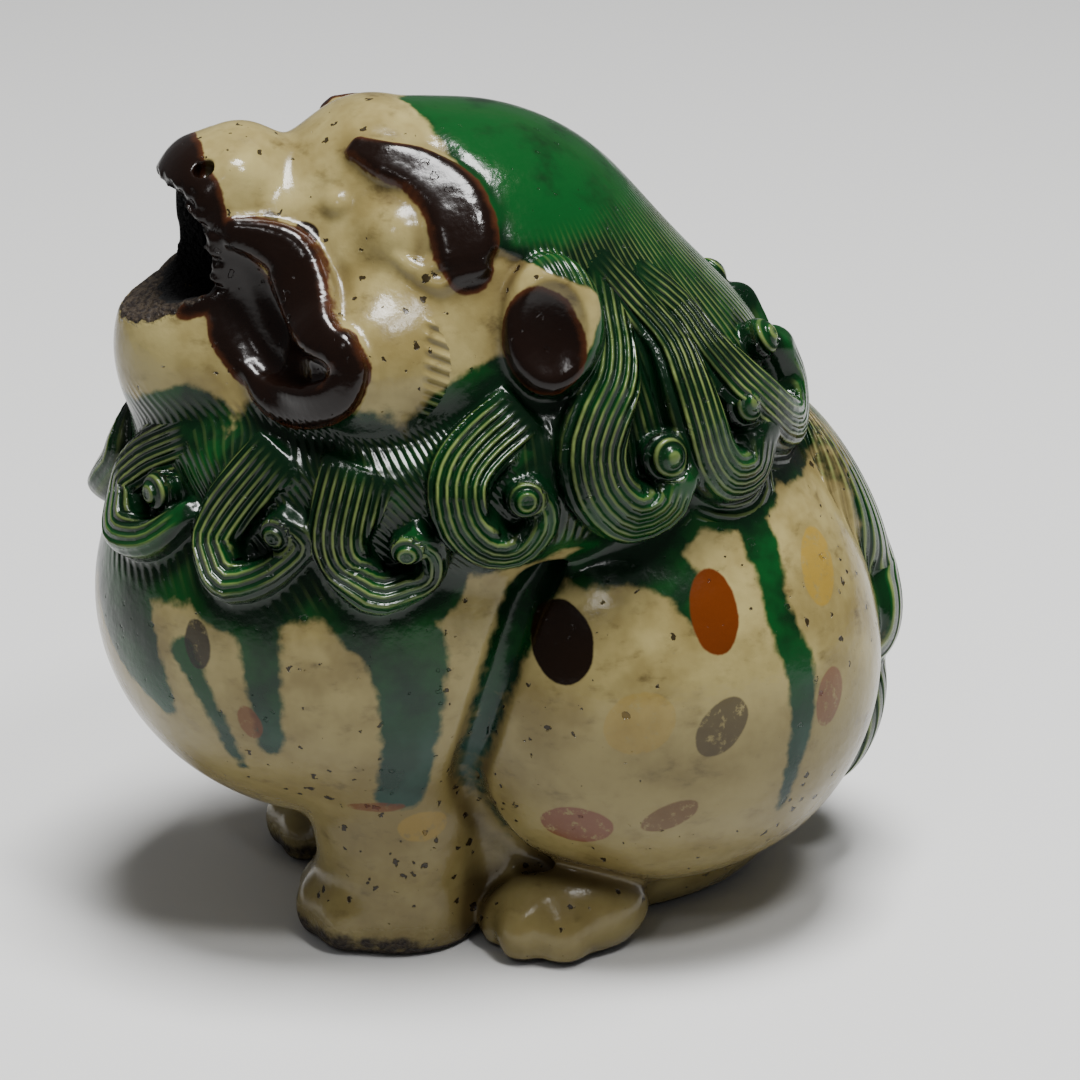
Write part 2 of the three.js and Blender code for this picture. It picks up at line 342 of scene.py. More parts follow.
collar = ball((0, -6, 49.5), (24.5, 31, 13.5))
mane_skin = joined([skull.grown(HAIR_RISE), collar], 5)
mane_base = joined([mane_skin, trunk], 2)


def on_mane(around, rise):
    """The point where a way out from inside the head meets the mane or the chest."""
    around, rise = math.radians(around), math.radians(rise)
    way = vec(math.sin(around) * math.cos(rise), -math.cos(around) * math.cos(rise), math.sin(rise))
    reach = 20.0
    for _ in range(30):
        reach -= float(mane_base.field((MANE_CENTRE + reach * way)[None])[0])
    return MANE_CENTRE + reach * way


def lock(path):
    """A combed strap of hair laid on the mane, with a bead of clay at its curled end."""
    *strap, (knob_around, knob_rise, knob_size) = path
    points = [on_mane(around, rise) for around, rise, _ in strap]
    _, outs = laid(points, mane_base)
    wides = [wide for _, _, wide in strap]
    steps = np.linspace(0, 1, len(points))
    deeps = [0.4 + 2.1 * float(ramp(s, -0.05, 0.45)) * min(1, w / 2) for s, w in zip(steps, wides)]
    points = [point + (1.3 * float(ramp(s, -0.05, 0.4)) - 0.6) * out for s, point, out in zip(steps, points, outs)]
    centre = on_mane(knob_around, knob_rise)
    middle = len(points) // 2
    along = points[middle + 1] - points[middle - 1]
    side = np.cross(along, outs[middle])
    outer = -1.0 if float((centre - points[middle]) @ side) > 0 else 1.0
    strip = ribbon(points, outs, wides, deeps, STRAND, outer)
    _, out = laid([centre], mane_base)
    bead = ball(centre + 1.1 * out[0], (knob_size, knob_size, knob_size))
    whole_lock = joined([strip, bead], 0.7)

    def comb(p):
        strand, strength = strip.comb(p)
        ring = length(p - centre - 2.6 * out[0])
        on_bead = ramp(ring, 1.25 * knob_size, 0.95 * knob_size)
        return np.where(on_bead > 0.5, ring / 0.9 + 0.1, strand), np.maximum(strength * (1 - on_bead), 0.8 * on_bead)

    whole_lock.comb = comb
    return whole_lock


locks = [lock(path) for path in LOCKS]


def hair_edge(p):
    """Below zero where hair grows: behind the brow and the ear, and below the cheek."""
    line = -10.5 + 0.33 * p[:, 0] + 9 * ramp(p[:, 2], 74, 68)
    beard = 54.8 + 2.4 * ramp(p[:, 1], -16, -6) + 1.4 * ramp(p[:, 1], -30, -37)
    return np.minimum(line - p[:, 1], p[:, 2] - beard)


mane_cap = Form(lambda p: smooth_max(mane_skin.field(p), hair_edge(p), 2.5), mane_skin.low, mane_skin.high)

# ---- the face ----
jaw = joined([limb((0, -22, 48), (0, -27, 57), 14, 11), ball((0, -29.5, 61), (9.6, 9, 9))], 4)
nose = joined([ball((0, -26.2, 77.4), (5.6, 4.8, 4.4)), ball((0, -30.2, 76), (7.6, 3.6, 4.4)),
               ball((5.0, -27.4, 77.4), (2.4, 3.0, 2.8))], 1.4)
nostril = ball((5.2, -30.2, 78.6), (1.0, 1.1, 1.0))
cheek = ball((14.2, -14.6, 61.6), (7.4, 9.0, 7.8), tilt("Z", 18))
face = joined([head, jaw, cheek, nose], 2.5)
socket = ball((16.2, -15.6, 74.9), (6.0, 5.2, 2.6), facing((0.72, -0.42, 0.52)))
eye = joined([ball((11.3, -12.7, 72.8), (4.4, 4.4, 4.2)), ball((9.4, -18.4, 75.9), (1.0, 1.0, 1.0)),
              trail(laid([(15.2, -13.6, 72.2), (16.6, -12.0, 71.2), (17.2, -10.8, 71.6)], face)[0], [0.6, 0.8, 0.6]),
              trail(laid([(16.8, -11.6, 70.4), (17.8, -10.0, 70.0), (18.0, -9.0, 71.0)], face)[0], [0.5, 0.7, 0.5])],
             0.5)

brow_line = [(7.8, -15.9, 80.6), (9.4, -13.7, 79.8), (10.5, -10.8, 78.7), (12.5, -8.4, 76.9), (14.8, -7.5, 74.8),
             (16.5, -7.5, 72.5), (17.3, -7.3, 71.1)]
fold_line = [(9, -28.1, 73.5), (9.3, -25.7, 72.9), (10.3, -23.3, 71.7), (11.6, -22.2, 69.7), (14.5, -21.5, 67),
             (17.5, -21.4, 65.8), (19.9, -20, 64.7)]
hook_line = [(19.8, -19.8, 65.1), (20.9, -19.2, 63.3), (20.6, -20.1, 61.1), (19.1, -21.7, 59.7), (16.4, -23.5, 58.9),
             (13.8, -25.5, 59.4), (11.7, -27, 61.1)]
valley_line = [(9.1, -28.9, 70.8), (9.0, -28.2, 67.0), (10.7, -27.0, 63.4), (13.4, -24.8, 61.7), (17.4, -23.0, 62.2)]


def strap(line, wides, deeps, lift):
    """A strap of clay laid on the face."""
    points, outs = laid(line, face, lift)
    return ribbon(points, outs, wides, deeps)


brow = strap(brow_line, [1.4, 2.1, 2.8, 3.3, 3.4, 3.0, 2.1], [1.1, 1.4, 1.6, 1.7, 1.7, 1.5, 1.1], -0.1)
fold = strap(fold_line, [1.4, 2.0, 2.6, 3.0, 3.0, 2.4, 1.6], [1.0, 1.5, 1.9, 2.1, 2.1, 1.9, 1.5], 0.0)
hook = strap(hook_line, [1.5, 1.7, 2.0, 2.2, 2.4, 2.2, 1.3], [1.4, 1.5, 1.6, 1.7, 1.7, 1.4, 0.8], -0.1)
lip = joined([fold, hook], 1.0)
valley = trail(laid(valley_line, face, 1.2)[0], [1.4, 1.8, 1.9, 1.7, 1.2])
EAR_OUT = (0.93, -0.12, 0.33)
ear_cup = ball((19.6, 0.2, 65.9), (5.0, 6.8, 3.7), facing(EAR_OUT))
ear_dish = ball((23.1, -0.7, 66.0), (4.0, 5.4, 1.9), facing(EAR_OUT))
ear_paint = ball((22.6, -1.5, 64.9), (4.4, 5.7, 3.2), facing(EAR_OUT))
ear = cut(ear_cup, ear_dish, 0.8)

# ---- legs and tail ----
haunch = ball((12.2, 12.5, 26), (16.9, 22.6, 21.4))
shoulder = joined([limb((10.5, -15, 24), (10.5, -13.5, 11), 9.6, 8.0),
                   limb((10.5, -13.5, 11), (10.5, -13, 3), 8.0, 7.8)], 2)
body = joined([trunk, shoulder, haunch], 1.6)
groove_line = [(22, 3, 46), (22, -3, 41), (22, -6, 36.5), (22, -7.6, 31), (21.6, -7.4, 25), (20, -5.8, 18.4),
               (18, -2.6, 12.4), (16, 1.5, 8)]
for _ in range(6):
    groove_line = laid(laid(groove_line, haunch)[0], joined([trunk, shoulder], 1.6))[0]
groove = trail(laid(groove_line, body, 0.5)[0], [0.9, 1.3, 1.5, 1.5, 1.5, 1.4, 1.2, 0.7])
forepaw = joined([ball((10.4, -14.2, 3.6), (8.0, 9.0, 5.4))]
                 + [ball((x, y, 2.6), (2.3, 2.0, 2.8)) for x, y in ((6.4, -21.0), (10.6, -21.8), (14.4, -20.0))], 2.2)
hind_paw = joined([ball((18, 2.5, 4.0), (5.6, 8.0, 5.2))]
                  + [ball((x, y, 2.8), (2.3, 2.6, 3.0)) for x, y in ((17.2, -4.0), (20.8, -2.8), (22.2, 1.0))], 1.3)
plume = ball((0, 33.4, 40), (9.0, 12.0, 3.6), tilt("X", -62))
curl = ball((0, 36.6, 28), (9.6, 4.4, 7.4))
knob = ball((0, 39.4, 26.5), (2.6, 2.4, 2.6))
tuft = ball((0, 35.0, 15.6), (8.4, 8.8, 4.2), tilt("X", -108))


# ---- pieces: the form, the frame's node, how softly it joins the rest, its cell ----
class Piece:
    def __init__(self, node, form, soft, cell, slot="cream_glaze", sided=False):
        self.node = node
        self.form = form
        self.soft = soft
        self.cell = cell
        self.slot = slot
        self.sided = sided

    def reach(self):
        return 2 * self.widest() + 3

    def widest(self):
        return 8.0 if callable(self.soft) else self.soft

    def softness(self, p):
        return self.soft(p) if callable(self.soft) else self.soft


def haunch_softness(p):
    """A crisp groove in front of the haunch and none behind it."""
    return 1.0 + 7.0 * ramp(p[:, 1] + 0.3 * (p[:, 2] - 26), 8, 24)


def shoulder_softness(p):
    """The leg leaves the chest softly above and in a crease beneath it."""
    return 1.8 + 3.0 * ramp(p[:, 2], 12, 24)


PIECES = [
    Piece("body_shell", core, 0, BODY_CELL),
    Piece("head_shell", core, 0, HEAD_CELL * 1.25),
    Piece("lower_jaw", jaw, 3, HEAD_CELL * 1.1),
    Piece("cheek", cheek, 2.2, HEAD_CELL * 1.1, sided=True),
    Piece("nose", nose, 1.6, HEAD_CELL),
    Piece("eye", eye, 1.2, HEAD_CELL, sided=True),
    Piece("mane_cap", mane_cap, 2.0, HEAD_CELL * 1.25, "green_glaze"),
    Piece("haunch", haunch, haunch_softness, BODY_CELL * 0.8, sided=True),
    Piece("shoulder", shoulder, shoulder_softness, BODY_CELL * 0.8, sided=True),
    Piece("forepaw", forepaw, 2.5, BODY_CELL * 0.8, sided=True),
    Piece("hind_paw", hind_paw, 1.4, BODY_CELL * 0.8, sided=True),
    Piece("ear", ear, 0.8, HEAD_CELL, "brown_glaze", sided=True),
    Piece("brow", brow, 0.8, HEAD_CELL, "brown_glaze", sided=True),
    Piece("lip", lip, 0.8, HEAD_CELL, "brown_glaze", sided=True),
    Piece("tail_plume", plume, 1.5, HAIR_CELL, "green_glaze"),
    Piece("tail_curl", curl, 1.2, HAIR_CELL, "green_glaze"),
    Piece("tail_tuft", tuft, 1.5, HAIR_CELL, "green_glaze"),
    Piece("tail_knob", knob, 0.8, HAIR_CELL, "brown_glaze"),
]
PIECES += [Piece(f"lock_{i + 1}", form, 0.7, HAIR_CELL, "green_glaze", sided=True) for i, form in enumerate(locks)]
NAMES = [piece.node for piece in PIECES]
# a hollow, the piece that comes after it, and how softly it is cut
bore = Form(mouth, (-9, -40, 50), (9, -5, 79))
gape = Form(lip_line, (-14, -46, 60), (14, -26, 84))
CARVES = [(NAMES.index("eye"), socket, 0.9), (NAMES.index("eye"), nostril, 0.6),
          (NAMES.index("lip") + 1, valley, 0.7), (NAMES.index("lip") + 1, groove, 1.3),
          (len(PIECES), bore, 0.8), (len(PIECES), gape, 0.6)]


def masked(form, p, margin):
    """The form's distance where a point is near its box, and FAR elsewhere."""
    near = ((p > form.low - margin) & (p < form.high + margin)).all(1)
    result = np.full(len(p), FAR, np.float32)
    if near.any():
        result[near] = form.field(p[near])
    return result


def neighbours(index):
    """The pieces, by number, that can touch this one."""
    if index is None:
        return list(range(2, len(PIECES)))
    low, high = PIECES[index].form.low - 2, PIECES[index].form.high + 2
    if not PIECES[index].sided:
        low = np.minimum(low, -high)
    group = []
    for i, other in enumerate(PIECES):
        reach = other.reach()
        apart = (other.form.low - reach > high) | (other.form.high + reach < low)
        if i > 1 and (i == index or index < 2 or not apart.any()):
            group.append(i)
    return group


def surface(p, group):
    """The whole figure's distance, and the distances of the pieces in the group."""
    q = p.copy()
    q[:, 0] = np.abs(q[:, 0])
    middle = core.field(q)
    total = middle
    own = []
    carves = list(CARVES)
    for i in group + [len(PIECES)]:
        while carves and carves[0][0] <= i:
            _, form, softness = carves.pop(0)
            total = smooth_max(total, -masked(form, p if form is gape else q, 3), softness)
        if i < len(PIECES):
            distance = masked(PIECES[i].form, q, PIECES[i].reach())
            total = smooth_min(total, distance, PIECES[i].softness(q))
            own.append(distance)
    total = smooth_max(total, -hollow.field(q), 1.0)
    total = smooth_max(total, -masked(foot_hole, q, 3), 1.5)
    total = smooth_max(total, -q[:, 2], 1.0)
    return total, middle, own


def share(middle, own, group, index, p):
    """Below zero where a point belongs to this piece and to no other."""
    deep = middle + 8 * np.minimum(0, middle + 0.9)
    claims = [deep + 4 * np.maximum(0, p[:, 2] - NECK), deep + 4 * np.maximum(0, NECK - p[:, 2])] + own
    mine = claims.pop(index if index < 2 else 2 + group.index(index))
    return mine - np.min(claims, 0)


def piece_fields(p, index, group):
    """The piece's own field, and the whole figure's."""
    total, middle, own = surface(p, group)
    apart = share(middle, own, group, index, p)
    result = np.maximum(total + SINK * np.maximum(0, apart), apart - LAP)
    if PIECES[index].sided:
        result = np.maximum(result, HALF_GAP - p[:, 0])
    return result, total


# ---- turning a field into a mesh ----
WORKERS = ThreadPoolExecutor(4)


def in_blocks(field, p, size=40000):
    parts = [p[i:i + size] for i in range(0, len(p), size)] or [p]
    results = list(WORKERS.map(field, parts))
    return np.concatenate(results)


def sampled(field, low, high, cell):
    """The field on a grid: every block coarsely, and only the blocks near the surface finely."""
    step = 6
    coarse = step * cell
    blocks = np.ceil((high - low) / coarse).astype(int) + 1
    axes = [low[i] + coarse * (np.arange(blocks[i]) + 0.5) for i in range(3)]
    middles = np.stack(np.meshgrid(*axes, indexing="ij"), -1).reshape(-1, 3).astype(np.float32)
    rough = in_blocks(field, middles)
    near = np.abs(rough) < coarse * 1.5
    grid = np.broadcast_to(rough.reshape(*blocks, 1, 1, 1), (*blocks, step, step, step)).copy()
    ticks = (np.arange(step) - (step - 1) / 2) * cell
    inner = np.stack(np.meshgrid(ticks, ticks, ticks, indexing="ij"), -1).reshape(-1, 3)
    points = (middles[near][:, None, :] + inner[None]).reshape(-1, 3).astype(np.float32)
    spots = np.argwhere(near.reshape(blocks))
    grid[spots[:, 0], spots[:, 1], spots[:, 2]] = in_blocks(field, points).reshape(-1, step, step, step)
    grid = grid.transpose(0, 3, 1, 4, 2, 5).reshape(blocks * step)
    return grid, low + coarse * 0.5 + ticks[0]


def net(field, low, high, cell):
    """Vertices and four-sided faces of the field's zero surface."""
    grid, start = sampled(field, low, high, cell)
    inside = grid < 0
    sizes = np.array(grid.shape) - 1
    corners = [(dx, dy, dz) for dx in (0, 1) for dy in (0, 1) for dz in (0, 1)]
    filled = np.zeros(sizes, np.int8)
    for dx, dy, dz in corners:
        filled += inside[dx:sizes[0] + dx, dy:sizes[1] + dy, dz:sizes[2] + dz]
    active = (filled > 0) & (filled < 8)
    cells = np.argwhere(active)
    number = np.full(active.shape, -1, np.int32)
    number[tuple(cells.T)] = np.arange(len(cells))
    sums = np.zeros((len(cells), 3))
    counts = np.zeros(len(cells))
    for a in corners:
        for axis in range(3):
            if a[axis]:
                continue
            b = tuple(a[i] + (1 if i == axis else 0) for i in range(3))
            va = grid[cells[:, 0] + a[0], cells[:, 1] + a[1], cells[:, 2] + a[2]]
            vb = grid[cells[:, 0] + b[0], cells[:, 1] + b[1], cells[:, 2] + b[2]]
            crosses = (va < 0) != (vb < 0)
            t = np.where(crosses, va / np.where(crosses, va - vb, 1), 0)
            for i in range(3):
                sums[:, i] += np.where(crosses, a[i] + (t if i == axis else 0), 0)
            counts += crosses
    places = (cells + sums / counts[:, None]) * cell + start
    faces = []
    for axis in range(3):
        u, v = (axis + 1) % 3, (axis + 2) % 3
        ahead = [slice(None)] * 3
        ahead[axis] = slice(1, None)
        behind = [slice(None)] * 3
        behind[axis] = slice(None, -1)
        changes = np.argwhere(inside[tuple(ahead)] != inside[tuple(behind)])
        keep = (changes[:, u] > 0) & (changes[:, v] > 0)
        keep &= (changes[:, u] < active.shape[u]) & (changes[:, v] < active.shape[v])
        changes = changes[keep]
        ring = []
        for du, dv in ((-1, -1), (0, -1), (0, 0), (-1, 0)):
            place = changes.copy()
            place[:, u] += du
            place[:, v] += dv
            ring.append(number[tuple(place.T)])
        quads = np.stack(ring, 1)
        leaving = inside[tuple(behind)][tuple(changes.T)]
        quads[~leaving] = quads[~leaving][:, ::-1]
        faces.append(quads)
    return places.astype(np.float32), np.concatenate(faces)


def made(index):
    """A piece's points, faces and the way out at each point, taken from the whole figure near its skin."""
    piece = PIECES[index]
    group = neighbours(index)
    low, high = piece.form.low - MARGIN, piece.form.high + MARGIN
    if index == 0:
        high = np.minimum(high, vec(FAR, FAR, NECK + 3))
    if index == 1:
        low = np.maximum(low, vec(-FAR, -FAR, NECK - 3))
    if piece.sided:
        low[0] = max(low[0], -0.6)
    else:
        low[0] = min(low[0], -high[0])
    low[2] = max(low[2], -MARGIN)

    def own_field(p):
        return piece_fields(p, index, group)[0]

    def whole(p):
        return surface(p, group)[0]

    points, faces = net(own_field, low, high, piece.cell)
    total = in_blocks(whole, points)
    skin = np.abs(total) < NEAR_SKIN
    out = np.zeros_like(points)
    for corner in TETRAHEDRON:
        out[skin] += corner * in_blocks(whole, points[skin] + corner * PROBE)[:, None]
        out[~skin] += corner * in_blocks(own_field, points[~skin] + corner * PROBE)[:, None]
    out /= np.maximum(length(out)[:, None], 1e-6)
    bare = np.abs(total) < 0.12 * piece.cell
    points[bare] -= out[bare] * total[bare, None]
    return points, faces, out, group


# ---- paint: distances to the edges of the glazes' colours, below zero inside them ----
UNDER_MANE = ([0, 31, 52, 80, 95, 112, 132, 150, 165, 180], [-25, -25, -29, -29, -25, -22, -17, -10, -6, -4])
DRIPS = [trail(laid(line, body, 0.0)[0], radii) for line, radii in (
    ([(4, -40.5, 41), (9, -40, 34.5), (12, -38, 29.5), (13, -36.6, 27)], [5.4, 4.6, 2.8, 1.0]),
    ([(15.2, -34.5, 34), (17, -33.5, 30), (17.3, -32, 26), (16.4, -30, 21.5)], [1.4, 0.9, 0.8, 0.5]),
    ([(19, -28.8, 41), (20.5, -28.3, 35), (20.6, -28, 29.5), (19.5, -27.6, 24.5)], [2.8, 2.0, 1.6, 1.1]),
    ([(22.7, -19, 40), (24, -15, 36), (24.4, -14.2, 31), (23.3, -14.3, 24), (21, -14.8, 19)],
     [3.6, 4.0, 3.3, 2.8, 2.5]),
    (groove_line[:-1], [2.6, 2.4, 2.0, 1.6, 1.4, 1.1, 0.5]),
    ([(24, 2, 45), (23.6, 8.2, 43.5), (24.5, 11.6, 41), (25.4, 12.8, 37.5)], [2.4, 2.6, 2.0, 1.1]),
    ([(20.2, 19.7, 46), (22.3, 20.8, 41.5), (24.6, 21.2, 37), (25.4, 22.6, 33), (25.9, 23.4, 28), (26, 22.7, 22.8),
      (25.1, 21.6, 17)], [2.4, 1.8, 1.4, 1.7, 1.6, 1.0, 0.5]),
)]
LIP_PAINT = [
    trail([(0, -34.2, 79.2), (4.6, -33.6, 79.0), (7.8, -31.4, 76.8), (9.2, -30.0, 72), (9.2, -29.8, 68),
           (7.4, -33.0, 65.6)], [4.2, 3.8, 2.5, 1.8, 1.6, 1.0]),
    trail(laid([(9.2, -29.6, 70.5), (10, -28.0, 67), (11.2, -26.8, 64.4), (14.4, -24.6, 62.2), (17.2, -22.8, 62)],
               face, 0.0)[0], [3.2, 3.9, 4.4, 4.6, 3.9]),
]
DARK, ORANGE, LEAF = (0.007, 0.003, 0.001), (0.095, 0.020, 0.002), (0.04, 0.027, 0.011)
PINK, YELLOW, RUST = (0.11, 0.034, 0.022), (0.24, 0.15, 0.02), (0.075, 0.03, 0.009)
# a spot of colour: its middle, its size along and up, its lean, its colour and how thickly it is laid
SPOTS = [
    ((24.3, 0.3, 35.4), (2.8, 3.9), 0, DARK, 1.0), ((26.1, 14.8, 38.0), (2.4, 3.9), 4, ORANGE, 1.0),
    ((28.8, 15.0, 27.2), (2.2, 3.3), -38, LEAF, 0.85), ((24.8, 1.7, 16.2), (3.4, 2.3), -6, PINK, 0.85),
    ((27.7, 10.3, 17.6), (1.5, 3.0), -62, RUST, 0.8), ((19.2, 26.6, 39.3), (2.0, 3.4), 0, YELLOW, 0.75),
    ((23.5, 26.7, 27.7), (1.6, 3.0), -10, PINK, 0.7), ((28.6, 7.0, 28.1), (3.6, 3.0), 30, YELLOW, 0.35),
    ((19.8, -12.5, 14.7), (2.6, 1.6), 0, YELLOW, 0.5), ((19.6, -29.4, 27.6), (1.0, 2.0), 20, ORANGE, 0.7),
    ((20.9, -17.2, 17.3), (3.0, 0.6), 0, ORANGE, 0.7), ((17.1, -33.9, 35.2), (1.1, 2.5), 0, DARK, 0.9),
    ((10.4, -21.4, 73.7), (1.1, 0.8), -20, DARK, 1.0), ((9.2, -24.6, 74.9), (0.7, 0.5), -20, DARK, 0.8),
    ((-24.6, 3.0, 33.4), (2.9, 3.8), 0, DARK, 1.0), ((-27.6, 13.0, 24.0), (2.4, 3.8), -10, ORANGE, 1.0),
    ((-26.4, 15.6, 35.6), (2.3, 3.2), 30, LEAF, 0.85), ((-24.6, -0.4, 18.4), (3.2, 2.3), 8, PINK, 0.85),
    ((-26.0, 9.0, 12.6), (1.6, 3.0), 60, RUST, 0.8), ((-20.2, 25.6, 34.0), (2.0, 3.2), 0, YELLOW, 0.75),
    ((-20.4, -26.0, 27.0), (1.4, 2.6), 0, DARK, 0.9), ((-10.4, -21.4, 73.7), (1.1, 0.8), -20, DARK, 1.0),
]
BROW_PAINT = trail(laid(brow_line, face, 0.7)[0], [1.4, 2.5, 3.2, 3.3, 2.5])
FOLD_PAINT = trail(laid(fold_line, face, 0.7)[0], [2.0, 2.3, 3.0, 3.1, 2.6, 2.0])
HOOK_PAINT = trail(laid(hook_line, face, 0.7)[0], [2.0, 2.1, 2.4, 2.6, 2.4, 1.9])


def closest(forms, p):
    return np.min([form.field(p) for form in forms], 0)


def mane_place(q):
    """How far round the mane a point is, and how far up, in degrees."""
    away = q - MANE_CENTRE
    around = np.degrees(np.arctan2(away[:, 0], -away[:, 1]))
    return around, np.degrees(np.arctan2(away[:, 2], np.hypot(away[:, 0], away[:, 1])))


def combed(q, index):
    """The strand that a point is on, counted across the hair, and how deeply the hair is combed there."""
    piece = PIECES[index]
    around, rise = mane_place(q)
    if piece.form.comb:
        return piece.form.comb(q)
    if piece.node == "tail_plume":
        return np.arctan2(q[:, 0], q[:, 1] - 28) / 0.13, 0.9 * ramp(q[:, 2], 54, 48)
    if piece.node == "tail_curl":
        ring = length((q - vec(0, 36, 26.5)) * vec(1, 0.3, 1))
        return ring / 1.3, ramp(ring, 1.5, 3.5)
    if piece.node == "tail_tuft":
        return np.arctan2(q[:, 0], q[:, 1] - 30) / 0.15, np.full(len(q), 0.9, np.float32)
    above = rise - np.interp(around, *UNDER_MANE)
    hair = ramp(hair_edge(q), 0.5, -1.0) * ramp(above, 2, 6)
    back = 0.6 * hair * ramp(rise, 52, 36) * ramp(around, 95, 120)
    beard = 0.14 * ramp(q[:, 2], 58.5, 56.5) * ramp(above, 0, 4) * ramp(q[:, 0], 2, 6) * ramp(around, 105, 95)
    strand = np.where(around > 95, around / 2.15, (around + 0.9 * rise) / 2.1)
    if piece.node == "cheek":
        fringe = ramp(np.abs(q[:, 1] + 10.4 - 0.10 * (q[:, 2] - 62)), 2.3, 1.0) * ramp(q[:, 2], 68, 66.5)
        return (q[:, 2] + 0.5 * q[:, 1]) / 1.25, np.maximum(0.8 * fringe, 0)
    return strand, np.maximum(back, beard)


def painted(p, out, index, group):
    """The glaze at each point: edges of the colours, then hollows (pooled glaze and grime, and painted shade), bare
    clay, and the low teal with painted shade on the lower cream, then hair and the inside's painted black shade, then
    the spots' colours.
    """
    q = p.copy()
    q[:, 0] = np.abs(q[:, 0])
    whole_group = neighbours(None) if index < 2 else group
    # how closely nearby surface crowds each point, a little and further out: glaze and grime pool there, and it also
    # darkens hollows and the undersides of the locks as painted shade
    total, middle, own = surface(p + 1.3 * out, whole_group)
    pooled_and_shaded = 1.3 - total
    wide_total, _, _ = surface(p + 3.5 * out, whole_group)
    pooled_and_shaded = np.clip(0.6 * pooled_and_shaded + 0.4 * np.maximum(0, 3.5 - wide_total), 0, 3)
    around, rise = mane_place(q)
    below = (np.interp(around, *UNDER_MANE) - rise) * 0.47
    green = np.maximum(hair_edge(q), below)
    green = np.minimum(green, closest(DRIPS, q))
    node = PIECES[index].node
    for i, distance in zip(whole_group, own):
        if PIECES[i].node.startswith("lock"):
            green = np.minimum(green, distance - 2.5)
    if node == "tail_tuft":
        green = np.minimum(green, -2.0)
    if node in ("tail_plume", "tail_curl"):
        green = np.minimum(green, -1.6 * ramp(length(q - vec(0, 37, 32)), 15, 9) + 1.0 * ramp(q[:, 0], 8.2, 9.4))
    brown = np.minimum(closest([BROW_PAINT, FOLD_PAINT, HOOK_PAINT], q), closest(LIP_PAINT, q))
    brown = np.minimum(brown, ear_paint.field(q))
    if node == "tail_knob":
        brown = np.minimum(brown, -1.0)
    spot = np.full(len(p), 9.0, np.float32)
    tint = np.zeros((len(p), 4), np.float32)
    for place, sizes, lean, colour, thick in SPOTS:
        distance = ball(place, (7, *sizes), tilt("X", lean)).field(p)
        nearer = distance < spot
        spot[nearer] = distance[nearer]
        tint[nearer] = (*colour, thick)
    # the inside of the hollow and the mouth's bore: bare clay, then near-black painted shade over it
    inner = ramp(-hollow.field(q), -1.6, -0.6)
    inner = np.maximum(inner, ramp(-bore.field(q), -0.5, -0.1) * (q[:, 1] > -39))
    rim = ramp(-gape.field(p), -0.45, -0.1) * (q[:, 1] < -31.5) * (q[:, 2] > 60) * (q[:, 2] < 68)
    sole = np.maximum(ramp(q[:, 2], 1.4, 0.3), 0.62 * ramp(q[:, 2], 4.5, 1.5) * ramp(q[:, 1], -8, -14))
    worn = np.maximum(np.maximum(inner, rim), sole)
    # towards the bottom: teal glaze on the drips, and painted shade on the cream
    low_teal_and_shade = ramp(q[:, 2], 36, 22) * ramp(q[:, 1], 34, 30)
    strand, strength = combed(q, index)
    return {"paint": np.stack([green, brown, spot], 1), "state": np.stack([pooled_and_shaded, worn, low_teal_and_shade], 1),
            "hair": np.stack([strand, strength, inner], 1), "tint": tint}


# ---- one glaze for every piece ----
class Graph:
    """A material's nodes, made one after another."""

    def __init__(self, tree):
        self.tree = tree

    def node(self, kind, settings=None, **inputs):
        made_node = self.tree.nodes.new(kind)
        for name, value in (settings or {}).items():
            setattr(made_node, name, value)
        for name, value in inputs.items():
            self.feed(made_node.inputs[name.replace("_", " ")], value)
        return made_node

    def feed(self, socket, value):
        if isinstance(value, bpy.types.NodeSocket):
            self.tree.links.new(value, socket)
        else:
            socket.default_value = value

    def math(self, operation, *values):
        node = self.node("ShaderNodeMath", {"operation": operation})
        for socket, value in zip(node.inputs, values):
            self.feed(socket, value)
        return node.outputs[0]

    def step(self, value, start, end, low=0.0, high=1.0):
        node = self.node("ShaderNodeMapRange", {"interpolation_type": "SMOOTHSTEP"}, Value=value, From_Min=start,
                         From_Max=end, To_Min=low, To_Max=high)
        return node.outputs[0]

    def mix(self, share_of_second, first, second):
        node = self.node("ShaderNodeMix", {"data_type": "RGBA"})
        for socket, value in zip((node.inputs[0], node.inputs[6], node.inputs[7]), (share_of_second, first, second)):
            self.feed(socket, (*value, 1) if isinstance(value, tuple) else value)
        return node.outputs[2]

    def noise(self, place, scale, detail=3.0, rough=0.5):
        node = self.node("ShaderNodeTexNoise", None, Vector=place, Scale=scale, Detail=detail, Roughness=rough)
        return node.outputs["Fac"]

    def stored(self, name):
        node = self.node("ShaderNodeAttribute", {"attribute_type": "GEOMETRY", "attribute_name": name})
        parts = self.node("ShaderNodeSeparateXYZ", None, Vector=node.outputs["Vector"])
        return node, parts.outputs


# cream, a darker cream for random patches, and a dark colour for grime smears and comb valleys that also serves as
# painted shade in hollows
CREAM, CREAM_DEEP, GRIME_AND_SHADE = (0.30, 0.25, 0.104), (0.165, 0.127, 0.044), (0.05, 0.033, 0.012)
GREEN_DEEP, GREEN_MID, GREEN_THIN = (0.001, 0.010, 0.003), (0.003, 0.045, 0.008), (0.13, 0.17, 0.05)
TEAL, TEAL_THIN = (0.003, 0.019, 0.013), (0.010, 0.038, 0.028)
# a darker cream for the lower body: painted shade
CREAM_IN_LOW_SHADE = (0.105, 0.080, 0.028)
BROWN, BROWN_THIN = (0.006, 0.0025, 0.0015), (0.045, 0.014, 0.005)
# bare clay, and near black for painted shade inside the hollow and the mouth
CLAY, INSIDE_SHADE_BLACK = (0.034, 0.024, 0.014), (0.002, 0.002, 0.002)


GLAZES = {}


